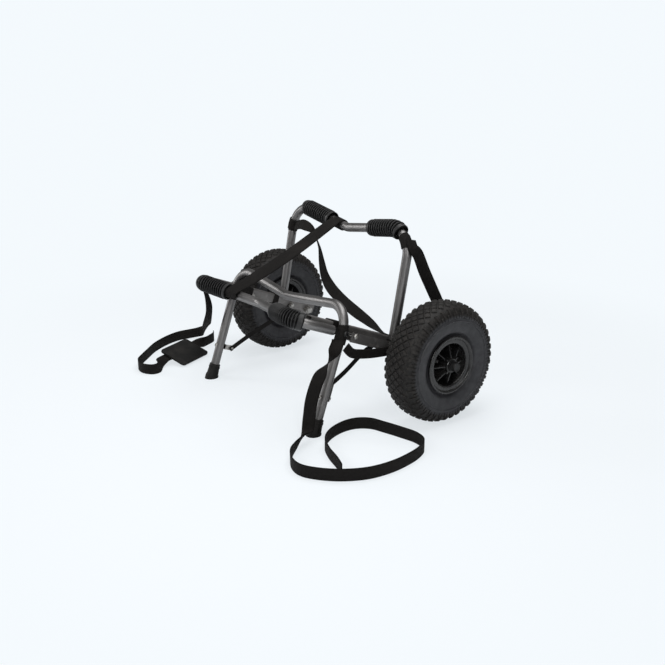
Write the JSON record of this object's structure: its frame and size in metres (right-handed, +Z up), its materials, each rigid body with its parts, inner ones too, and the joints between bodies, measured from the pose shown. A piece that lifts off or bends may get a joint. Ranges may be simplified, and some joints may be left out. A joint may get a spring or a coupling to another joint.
{
  "type": "paddleboard cart",
  "caption": "Two-wheeled folding cart for a paddleboard: padded tube cradle arms, fold-out leg frame, block-tread balloon tyres and webbing tie straps.",
  "frame": {"origin": "on the ground, at the middle of the stand's footprint, loose straps left out", "axes": "+X to the right wheel along the wheel axis, +Y to the tall rear arms' side, -Y to the kickstand's feet, +Z up"},
  "size_m": [0.9317, 0.5143, 0.4053],
  "materials": {
    "tube": "satin",
    "rail": "satin",
    "fastener": "satin",
    "pad": "matt ribbed",
    "boot": "matt",
    "webbing": "woven",
    "printed_webbing": "woven, left bare",
    "tyre": "moulded block tread",
    "rim": "moulded",
    "bush": "moulded",
    "valve": "dull",
    "buckle_pad": "matt",
    "buckle": "black coated"
  },
  "bodies": {
    "chassis": {"rail_left": "rail", "rail_right": "rail", "bracket_left": "rail", "bracket_right": "rail", "side_spacer_left": "rail", "side_spacer_right": "rail", "axle_left": "fastener", "axle_right": "fastener", "axle_cap_left": "rim", "axle_cap_right": "rim", "front_frame": "tube", "arm_plug_left": "boot", "arm_plug_right": "boot", "front_pad_left": "pad", "front_pad_right": "pad", "front_bolt_left_1": "fastener", "front_bolt_left_2": "fastener", "front_bolt_right_1": "fastener", "front_bolt_right_2": "fastener", "bracket_bolt_left": "fastener", "bracket_bolt_right": "fastener", "rear_pivot_bolt_left": "fastener", "rear_pivot_bolt_right": "fastener", "kickstand_pivot_bolt_left": "fastener", "kickstand_pivot_bolt_right": "fastener", "board_strap": "printed_webbing", "sling_strap": "webbing", "limit_strap_left": "webbing", "limit_strap_right": "webbing", "rail_strap_right": "webbing", "tie_strap_right": "webbing", "tie_strap_left": "webbing", "buckle_pad": "buckle_pad", "buckle_body": "buckle"},
    "rear_frame": {"rear_frame": "tube", "rear_pad_left": "pad", "rear_pad_right": "pad", "rear_eye_left": "rail", "rear_eye_right": "rail", "arm_wrap_left": "webbing", "board_strap_loop": "webbing", "tie_strap_rear": "webbing"},
    "kickstand": {"kickstand": "tube", "foot_left": "boot", "foot_right": "boot", "leg_wrap_left": "webbing", "leg_wrap_right": "webbing", "strap_tab_left": "fastener", "strap_tab_right": "fastener", "tab_bolt_left": "fastener", "tab_bolt_right": "fastener"},
    "wheel_left": {"tyre_left": "tyre", "rim_left": "rim", "wheel_bush_left": "bush", "valve_left": "valve"},
    "wheel_right": {"tyre_right": "tyre", "rim_right": "rim", "wheel_bush_right": "bush", "valve_right": "valve"},
    "buckle_lever": {"buckle_lever": "buckle"}
  },
  "joints": [
    {"name": "rear_frame_fold", "type": "hinge", "parent": "chassis", "child": "rear_frame", "pos_m": [0, 0.04027, 0.15097], "axis": [1, 0, 0], "range_deg": [0, 52], "deforming": ["board_strap", "sling_strap"]},
    {"name": "kickstand_fold", "type": "hinge", "parent": "chassis", "child": "kickstand", "pos_m": [0, -0.09408, 0.20417], "axis": [1, 0, 0], "range_deg": [0, 28], "deforming": ["limit_strap_left", "limit_strap_right", "tie_strap_right"]},
    {"name": "wheel_left_spin", "type": "hinge", "parent": "chassis", "child": "wheel_left", "pos_m": [-0.2976, 0.0895, 0.13], "axis": [1, 0, 0], "continuous": true},
    {"name": "wheel_right_spin", "type": "hinge", "parent": "chassis", "child": "wheel_right", "pos_m": [0.2976, 0.0895, 0.13], "axis": [1, 0, 0], "continuous": true},
    {"name": "buckle_lever_press", "type": "hinge", "parent": "chassis", "child": "buckle_lever", "pos_m": [-0.37304, -0.16289, 0.01449], "axis": [0.8544, 0.3912, -0.3421], "range_deg": [0, 26], "stiffness_Nm_per_rad": 0.02}
  ]
}
